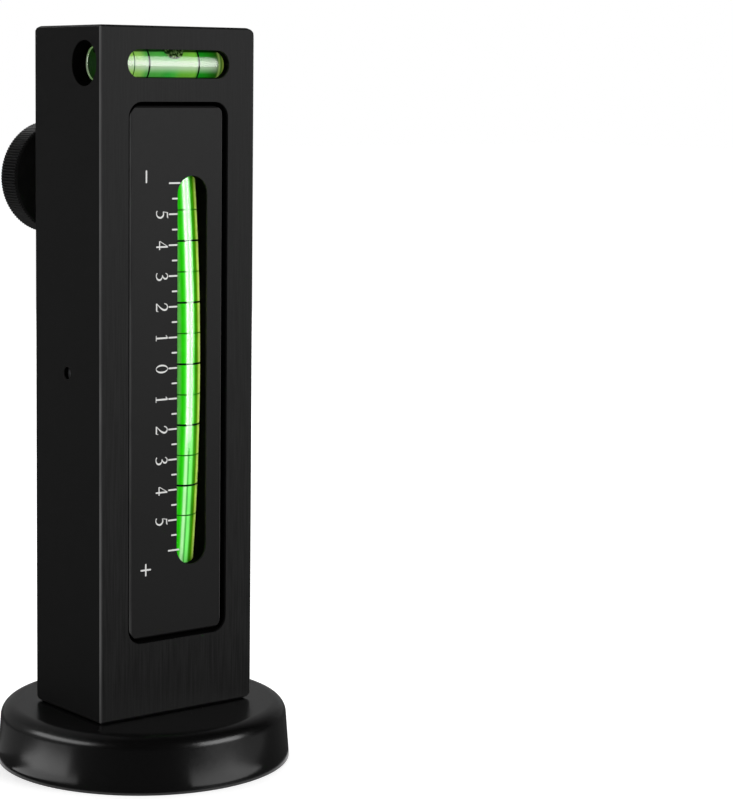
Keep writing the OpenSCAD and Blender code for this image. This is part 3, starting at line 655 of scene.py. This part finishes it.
def liquid(name, low, high, stops, highlight_axis, highlight_band, band_highlight_colour, painted_glow, rim):
    """Fluorescent vial liquid with its light and shade painted into its colour, and a painted glow
    as emission. Its colour runs along X from low to high through stops of position and colour,
    which paint the light gathering at one side and the shade at the other. A painted highlight band
    lies across the axis given: the band's tuple holds its middle, the reach within which it is
    full, the reach at which it is gone, and a strength that the third number of a stop scales.
    Beyond rim from the band's middle the liquid is coloured darker as painted shade."""
    # painted glow: the liquid emits its own colour
    material, tree, bsdf = new_material(name, **{"Roughness": 0.6, "Emission Strength": painted_glow,
                                                 SHINE: 0.0})
    point = add(tree, "SeparateXYZ", {0: add(tree, "TexCoord").outputs["Object"]})
    share = add(tree, "MapRange", {"Value": point.outputs[0], "From Min": low, "From Max": high})
    ramp = add(tree, "ValToRGB", {0: share})
    elements = ramp.color_ramp.elements
    elements[0].position, elements[1].position = stops[0][0], stops[-1][0]
    for stop in stops[1:-1]:
        elements.new(stop[0])
    for element, (_, colour, milkiness) in zip(elements, stops):
        element.color = (*linear(colour)[:3], milkiness)
    # painted highlight: a pale band across the chosen axis
    off = add(tree, "Math", {0: point.outputs[highlight_axis], 1: highlight_band[0]}, operation="SUBTRACT")
    far = add(tree, "Math", {0: off}, operation="ABSOLUTE")
    highlight_share = add(tree, "MapRange", {"Value": far, "From Min": highlight_band[1], "From Max": highlight_band[2],
                                  "To Min": highlight_band[3], "To Max": 0.0},
               interpolation_type="SMOOTHSTEP")
    pale = add(tree, "Math", {0: highlight_share, 1: ramp.outputs[1]}, operation="MULTIPLY")
    # painted shade: darker beyond rim
    shade = add(tree, "MapRange", {"Value": far, "From Min": rim, "From Max": 1.06 * rim,
                                   "To Min": 1.0, "To Max": 0.1})
    drift = add(tree, "TexNoise", {"Vector": pattern_space(tree, (2.5 * MM, 2.5 * MM, 5 * MM)),
                                   "Scale": 1.0})
    value = add(tree, "MapRange", {"Value": drift, "To Min": 0.8, "To Max": 1.2})
    level = add(tree, "Math", {0: value, 1: shade}, operation="MULTIPLY")
    tint = add(tree, "HueSaturation", {"Value": level, "Color": ramp})
    with_highlight = add(tree, "Mix", {"Factor": pale, "A": tint, "B": linear(band_highlight_colour)},
                data_type="RGBA")
    tree.links.new(with_highlight.outputs["Result"], bsdf.inputs["Base Color"])
    tree.links.new(with_highlight.outputs["Result"], bsdf.inputs["Emission Color"])
    return material


def clear(name, colour, roughness):
    """Clear drawn glass or cast acrylic, faintly tinted."""
    return new_material(name, **{"Base Color": linear(colour), "Roughness": roughness, "IOR": 1.5,
                                 "Transmission Weight": 1.0})[0]


# Each scratch, tool mark and grit below is drawn coarser than it is, so that it shows: a real one
# is a few hundredths of a millimetre wide.

# Aluminium brushed along its height, then anodised black: soft upright streaks in a low sheen, a
# paler painted highlight along its upright chamfers, and painted shade inside its bores, pocket
# and windows
GRAIN = (0.34 * MM, 9 * MM)  # a scratch's width and length
ANODISED = brushed_aluminium("black_anodised_aluminium", "#101010", "#1a1a1a", "#5a5a5a", 0.42,
                             GRAIN, 0.25, 0.1)
# Aluminium blasted and dyed matt black: an even dull face, from which the white print stands
# out. A paler painted highlight lies on its upright chamfers, and painted shade inside its window
SCALE_FACE = scale_plate("black_scale_plate", "#161616", "#585858", 0.45, 0.15, 0.14)
# Aluminium turned, knurled and anodised black: small glints on the teeth
KNURLED = turned("knurled_black_aluminium", "#0e0e0e", 0.4, "Y", KNOB_MID, 0.25 * MM, 0.25,
                 **{SHINE: 0.35})
# Steel under a smooth hard black coat: glossy, so that pale things round it show as soft patches
BASE_COAT = satin("black_coated_steel", "#0b0b0b", 0.24, 0.5 * MM, 0.05,
                  **{SHINE: 0.5})
# Zinc-plated steel: bright blue-grey, its reflections a little blurred
STEEL = satin("zinc_plated_steel", "#b9bbbd", 0.3, 0.3 * MM, 0.1, Metallic=1.0)
# Turned brass: warm yellow metal
BRASS = satin("turned_brass", "#c9a14e", 0.3, 0.3 * MM, 0.1, Metallic=1.0)
# Turned nylon: milky and dull
NYLON = satin("nylon", "#d8d5cc", 0.5, 0.4 * MM, 0.1)
# Moulded rubber: black, with no shine
RUBBER = satin("black_rubber", "#151515", 0.7, 0.3 * MM, 0.3)
# Sintered ferrite: dark grey and grainy, as fired clay is
FERRITE = satin("ferrite", "#2b2b2d", 0.6, 0.4 * MM, 0.3)
# Cast epoxy: black and smooth
POTTING = satin("black_epoxy", "#101011", 0.35, 0.5 * MM, 0.1)
# Moulded plastic plugs: pale, with the green of the liquid's light painted into them
PLUG = satin("pale_plug", "#cfe8b4", 0.4, 0.4 * MM, 0.1)
# Screen-printed paint: off-white and a little rough
PAINT = satin("white_scale_paint", "#c8c8c6", 0.5, 0.15 * MM, 0.3)
# Ink behind the glass: flat colour without a shine of its own, since no air lies on it
RING_INK = satin("black_ring_ink", "#04100a", 0.5, 0.2 * MM, 0.1, **{SHINE: 0.0})
FAINT_INK = satin("green_ring_ink", "#1c6a14", 0.5, 0.2 * MM, 0.1, **{SHINE: 0.0})
# Drawn glass: clear, with soft long glints. Cast acrylic, coloured dark green: painted shade
GLASS = clear("vial_glass", "#fafffa", 0.09)
ACRYLIC = clear("acrylic_with_painted_shade", "#051605", 0.05)
# Dyed liquid, seen through a round tube that bends the light, with its light and shade painted in:
# bands of pale and dark green, a painted glint of pale yellow by its far edge, and a painted
# highlight band. A stop gives the share of the way along X, the colour there and the strength of
# the painted highlight band there.
GREEN_PAINTED_LIGHT_STOPS = [(share, colour, 1.0) for share, colour in (
    (0.0, "#4ca040"), (0.11, "#70cc5c"), (0.16, "#44cc2c"), (0.20, "#22cc06"), (0.26, "#38d620"),
    (0.31, "#60e04c"), (0.40, "#60d850"), (0.43, "#4cb848"), (0.47, "#50c04c"), (0.50, "#80ee76"),
    (0.59, "#80ea72"), (0.63, "#58b83c"), (0.66, "#2e8a0c"), (0.74, "#307c04"), (0.78, "#4c860a"),
    (0.82, "#98c438"), (0.87, "#d4f470"), (0.94, "#ecff8c"), (1.0, "#587018"))]
# painted highlight: the pale line near the middle; painted glow of 0.12
GREEN = liquid("green_vial_liquid", VIAL_MID.x - LIQUID_R, VIAL_MID.x + LIQUID_R, GREEN_PAINTED_LIGHT_STOPS,
               0, (VIAL_MID.x - 0.74 * MM, 0.12 * MM, 0.45 * MM, 0.8), "#d0ffc6", 0.12, 9 * MM)
# The same along the level vial: painted light, paler by its plug, painted shade, a darker green
# towards its closed end, and painted glints on that end
YELLOW_PAINTED_LIGHT_STOPS = ((0.0, "#a8d088", 1.0), (0.14, "#96c678", 1.0), (0.19, "#94c854", 1.0),
                (0.27, "#8cc45c", 1.0), (0.31, "#50a848", 1.0), (0.41, "#50ac46", 1.0),
                (0.49, "#38ac3e", 1.0), (0.54, "#48b040", 1.0), (0.59, "#6cb83c", 1.0),
                (0.70, "#78be40", 1.0), (0.73, "#14941c", 0.9), (0.82, "#1c7814", 0.8),
                (0.865, "#1c6010", 0.7), (0.88, "#2c6010", 0.3), (0.895, "#9cbc60", 0.1),
                (0.91, "#34681c", 0.0), (0.93, "#a0bc50", 0.0), (0.95, "#2c4c10", 0.0),
                (1.0, "#081c04", 0.0))
# painted highlight: the pale band at mid height; painted shade above and below it; painted glow 0.4
YELLOW = liquid("yellow_green_vial_liquid", LEVEL_LOW.x, LEVEL_HIGH.x, YELLOW_PAINTED_LIGHT_STOPS,
                2, (LEVEL_MID.z - 0.1 * MM, 0.2 * MM, 1.8 * MM, 0.85), "#bcc8b4", 0.4, 2.2 * MM)
# Air against wet glass: a dark painted shade, with pale flecks of painted glints
BUBBLE = painted_glint_skin("air_bubble", "#1c3a10", "#a4cc7c", 0.12, 0.5 * MM)
# Black card standing in for the shade in the web's opening: it gives back almost no light
SHADE_CARD = satin("matt_black_shade_card", "#070707", 0.95, 0.12 * MM, 0.1)

FINISHES = {
    "housing": ANODISED, "camber_plate": SCALE_FACE, "caster_rocker": SCALE_FACE,
    "adjuster_knob": KNURLED, "base_cup": BASE_COAT, "ring_magnet": FERRITE,
    "magnet_potting": POTTING, "base_screws": STEEL, "camber_plate_screws": STEEL,
    "pivot_pin": STEEL, "threaded_bush": BRASS, "thrust_washer": NYLON, "camber_saddles": RUBBER,
    "caster_saddles": RUBBER, "camber_vial_plugs": PLUG, "caster_vial_plugs": PLUG,
    "level_vial_plug": ACRYLIC,
}


def dress(piece, material, stands_for=None):
    """Give a piece its material and, for a new piece and the node that it stands for."""
    piece.data.materials.clear()
    piece.data.materials.append(material)
    if stands_for:
        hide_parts(stands_for)
    return piece


for node_name, finish in FINISHES.items():
    dress(NODES[node_name], finish)

# Pieces -----------------------------------

RING_W, FAINT_W = 0.4 * MM, 0.25 * MM
RING_UP = 0.5 * MM           # the rings lie this far above their ticks
LEVEL_RING_X = (-5.8 * MM, 6.4 * MM)
LEVEL_FAINT_X = -9.4 * MM
LEVEL_AIR_X = 0.5 * MM       # how far the level's bubble stands right of the middle
BENT_TURN, LEVEL_TURN = 70, 74    # degrees round the bar from a bubble's middle to its side


def bent_vial(name, side, body, bubble_body):
    """Glass, liquid, bubble and rings of one bent vial."""
    def place(along, radius, turn):
        return bent_points(along, radius, turn, side)

    glass = dress(make_object(name + "_glass", bent_glass(side), body), GLASS,
                  name + "_vial")
    dress(make_object(name + "_liquid", bent_liquid(side), body), GREEN,
          name + "_fluid")
    low, high, middle = node_box(name + "_bubble")
    at = math.asin((middle.z - VIAL_MID.z) / BEND_R)
    half = (high.z - low.z) / 2 / BEND_R
    cap = bubble_cap(place, at, half, BENT_TURN, LIQUID_R + BUBBLE_PROUD)
    dress(make_object(name + "_air", [cap], bubble_body), BUBBLE, name + "_bubble")
    up = RING_UP / BEND_R
    for kind, ink, width, degrees in (("_rings", RING_INK, RING_W, (-4, -2, 0, 2, 4)),
                                      ("_faint_rings", FAINT_INK, FAINT_W, (-5, -3, -1, 1, 3, 5))):
        bands = [band(place, math.radians(d) + up, width / BEND_R, LIQUID_R) for d in degrees]
        dress(make_object(name + kind, bands, body), ink)
    return glass


camber_glass = bent_vial("camber", -1, "body", "camber_bubble")
caster_glass = bent_vial("caster", 1, "rocker", "caster_bubble")

level_tube = dress(make_object("level_glass", level_glass(), "body"), GLASS,
                   "level_vial")
dress(make_object("level_liquid", level_liquid(), "body"), YELLOW, "level_fluid")
level_air = bubble_cap(level_points, BUBBLE_MID.x + LEVEL_AIR_X,
                       (BUBBLE_HIGH.x - BUBBLE_LOW.x) / 2, LEVEL_TURN,
                       LEVEL_LIQUID_R + BUBBLE_PROUD)
dress(make_object("level_air", [level_air], "level_bubble"), BUBBLE, "level_bubble")
dress(make_object("level_rings", [band(level_points, x, RING_W, LEVEL_LIQUID_R)
                                  for x in LEVEL_RING_X], "body"), RING_INK)
dress(make_object("level_faint_ring", [band(level_points, LEVEL_FAINT_X, FAINT_W, LEVEL_LIQUID_R)],
                  "body"), FAINT_INK)

dress(make_object("camber_scale_print", scale_print(PLATE_LOW.y, -1), "body"), PAINT)
dress(make_object("caster_scale_print", scale_print(ROCKER_HIGH.y, 1), "rocker"), PAINT)
dress(make_object("light_stops", light_stops(), "body"), SHADE_CARD)
dress(make_object("lead_screw_thread", threaded_rod(), "knob"), STEEL, "lead_screw")
spring = dress(make_object("spring_wire", spring_coil()), STEEL, "adjuster_spring")
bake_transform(spring)

# Studio -----------------------------------

# Camera: place in metres, then turn, tilt and roll in degrees
CAMERA_AT = (-0.27223, -0.40496, 0.14122)
CAMERA_YAW = 37.397
CAMERA_PITCH = -5.690
CAMERA_ROLL = 0.438
CAMERA_LENS = 105.411
CAMERA_SHIFT = (0.1, -0.1)

SKY_LIGHT = 0.7              # strength of the white surround as light on a matt surface
FLOOR_LIFT = 0.38            # what the floor adds, so that it reads as the same white
FLOOR_HALF = 4.0
TENT_R, TENT_H, TENT_ROUND = 1.5, 1.6, 72
TENT_HOLE_R = 0.0313         # hole in the ground cloth, just wider than the base's foot
TENT_LIFT = 0.0004           # how far the ground cloth lies above the floor


def make_camera():
    """A long-lens camera: turned about Z by the yaw, tipped by the pitch, then rolled."""
    data = bpy.data.cameras.new("camera")
    data.lens = CAMERA_LENS
    data.sensor_width = 36
    data.shift_x, data.shift_y = CAMERA_SHIFT
    data.clip_start, data.clip_end = 0.01, 20
    camera = bpy.data.objects.new("camera", data)
    turn = Matrix.Rotation(math.radians(-CAMERA_YAW), 4, "Z")
    tip = Matrix.Rotation(math.radians(90 + CAMERA_PITCH), 4, "X")
    roll = Matrix.Rotation(math.radians(CAMERA_ROLL), 4, "Z")
    camera.matrix_world = Matrix.Translation(CAMERA_AT) @ turn @ tip @ roll
    bpy.context.scene.collection.objects.link(camera)
    bpy.context.scene.camera = camera


def seen_directly(tree):
    """1 for rays that show the surround: from the camera, mirrored or through glass."""
    path = add(tree, "LightPath")
    mirrored = add(tree, "Math", {0: path.outputs["Is Glossy Ray"],
                                  1: path.outputs["Is Transmission Ray"]}, operation="MAXIMUM")
    return add(tree, "Math", {0: path.outputs["Is Camera Ray"], 1: mirrored}, operation="MAXIMUM")


def stage_sheet(name, verts, faces):
    """A sheet of the set, not part of the gauge."""
    mesh = bpy.data.meshes.new(name)
    mesh.from_pydata([tuple(v) for v in verts], [], faces)
    sheet = bpy.data.objects.new(name, mesh)
    bpy.context.scene.collection.objects.link(sheet)
    return sheet


def make_floor():
    """A wide white floor that keeps the gauge's soft shadow."""
    h = FLOOR_HALF
    floor = stage_sheet("floor", [(-h, -h, 0), (h, -h, 0), (h, h, 0), (-h, h, 0)], [(0, 1, 2, 3)])
    material, tree, shader = new_material("white_floor", **{
        "Base Color": linear("#f4f4f4"), "Roughness": 0.9, SHINE: 0.0,
        "Emission Color": (1, 1, 1, 1)})
    lift = add(tree, "Math", {0: seen_directly(tree), 1: FLOOR_LIFT}, operation="MULTIPLY")
    tree.links.new(lift.outputs[0], shader.inputs["Emission Strength"])
    floor.data.materials.append(material)


def make_world():
    """White studio surround: full strength where it is seen or mirrored, less as light."""
    world = bpy.data.worlds.new("studio")
    bpy.context.scene.world = world
    world.use_nodes = True
    tree = world.node_tree
    tree.nodes.clear()
    strength = add(tree, "MapRange", {"Value": seen_directly(tree), "To Min": SKY_LIGHT,
                                      "To Max": 1.0})
    white = add(tree, "Background", {"Color": (1, 1, 1, 1), "Strength": strength})
    add(tree, "OutputWorld", {"Surface": white})


def make_tent():
    """A cloth tent round the set: a ground cloth, a round wall and a roof, black in front and at
    the sides and grey at the back. It is seen only in reflections, so that the black block and base
    keep their depth."""
    turn = around(TENT_ROUND)
    radius = column([TENT_HOLE_R, TENT_R, TENT_R, 0.001])
    height = column([TENT_LIFT, TENT_LIFT, TENT_H, TENT_H])
    points = np.stack([radius * np.sin(turn), -radius * np.cos(turn), height + 0 * turn], -1)
    tent = stage_sheet("tent", points.reshape(-1, 3).tolist(), grid_faces(len(radius), TENT_ROUND))
    material, tree, shader = new_material("tent_cloth", **{"Roughness": 1.0, SHINE: 0.0})
    point = add(tree, "SeparateXYZ", {0: add(tree, "TexCoord").outputs["Object"]})
    back = add(tree, "MapRange", {"Value": point.outputs[1], "From Min": -0.3, "From Max": 0.8})
    cloth = add(tree, "Mix", {"Factor": back, "A": linear("#080808"), "B": linear("#8c8c8c")},
                data_type="RGBA")
    tree.links.new(cloth.outputs["Result"], shader.inputs["Base Color"])
    tent.data.materials.append(material)
    tent.visible_camera = tent.visible_diffuse = tent.visible_shadow = False
    tent.visible_transmission = tent.visible_volume_scatter = False


def area_lamp(name, place, back, size, radiance, only, but=None):
    """A rectangular lamp that looks away from the direction back, as bright per area as radiance.
    With only, it is just a reflection in those pieces. With but, it passes over that piece."""
    data = bpy.data.lights.new(name, "AREA")
    data.shape = "RECTANGLE"
    data.size, data.size_y = size
    data.energy = radiance * math.pi * size[0] * size[1]
    lamp = bpy.data.objects.new(name, data)
    lamp.location = place
    lamp.rotation_mode = "QUATERNION"
    lamp.rotation_quaternion = Vector(back).to_track_quat("Z", "Y")
    bpy.context.scene.collection.objects.link(lamp)
    if only:
        lamp.visible_camera = lamp.visible_diffuse = lamp.visible_transmission = False
    if only or but:
        receivers = bpy.data.collections.new(name + "_receivers")
        for piece in only or [but]:
            receivers.objects.link(piece)
        lamp.light_linking.receiver_collection = receivers
        if but:
            receivers.collection_objects[0].light_linking.link_state = "EXCLUDE"
    return lamp


def direction(azimuth, elevation):
    """Unit vector at an azimuth (0 in front, towards +X) and elevation, in degrees."""
    a, e = math.radians(azimuth), math.radians(elevation)
    return Vector((math.sin(a) * math.cos(e), -math.cos(a) * math.cos(e), math.sin(e)))


def softbox(name, azimuth, elevation, distance, size, radiance, only=None, height=0.08, but=None):
    """A lamp that looks at the gauge's axis at a height."""
    back = direction(azimuth, elevation)
    place = Vector((0, 0, height)) + back * distance
    area_lamp(name, place, back, size, radiance, only, but)


def ground_card(name, x, y, size, radiance, only):
    """A lamp flat on the ground, which shows as a reflection of the lit table."""
    lamp = area_lamp(name, Vector((x, y, 0.001)), (0, 0, -1), size, radiance, only)
    lamp.rotation_quaternion = Matrix.Rotation(math.pi, 4, "X").to_quaternion()


make_camera()
make_floor()
make_world()
make_tent()
base = NODES["base_cup"]
# Three soft boxes light all but the glossy base
softbox("right_box", 32, 15, 0.9, (0.45, 0.70), 4.6, but=base)
softbox("left_box", -112, 10, 0.9, (0.26, 0.60), 2.0, but=base)
softbox("back_box", 145, 22, 0.9, (0.80, 0.60), 2.2, but=base)
# Patches that only the base mirrors: two soft boxes and the lit table round it
softbox("base_left_box", -104, 22, 0.5, (0.49, 0.16), 3.6, [base], 0.01)
softbox("base_right_box", 28, 10, 0.5, (0.32, 0.20), 5.0, [base], 0.01)
ground_card("base_left_card", -0.053, 0.001, (0.026, 0.026), 2.3, [base])
ground_card("base_left_near_card", -0.036, -0.006, (0.010, 0.020), 1.3, [base])
ground_card("base_far_card", -0.055, 0.034, (0.060, 0.036), 0.12, [base])
ground_card("base_right_card", 0.004, -0.041, (0.024, 0.019), 1.4, [base])
ground_card("base_side_card", 0.032, -0.056, (0.050, 0.040), 0.3, [base])
# A patch of the table that only the housing mirrors
ground_card("front_card", 0.170, -0.260, (0.280, 0.280), 0.8, [NODES["housing"]])
# Strips beside each vial, which show only as long glints on its glass
softbox("camber_strip", 12.7, 0, 0.3, (0.222, 0.34), 13.0, [camber_glass], 0.17)
softbox("caster_strip", 165, 0, 0.3, (0.30, 0.34), 10.0, [caster_glass], 0.17)
softbox("level_strip", 36, 6, 0.9, (0.45, 0.40), 3.0, [level_tube])
softbox("level_end_strip", -98, -8, 0.3, (0.05, 0.12), 14.0, [level_tube], 0.15)
bpy.context.scene.view_settings.view_transform = "Standard"
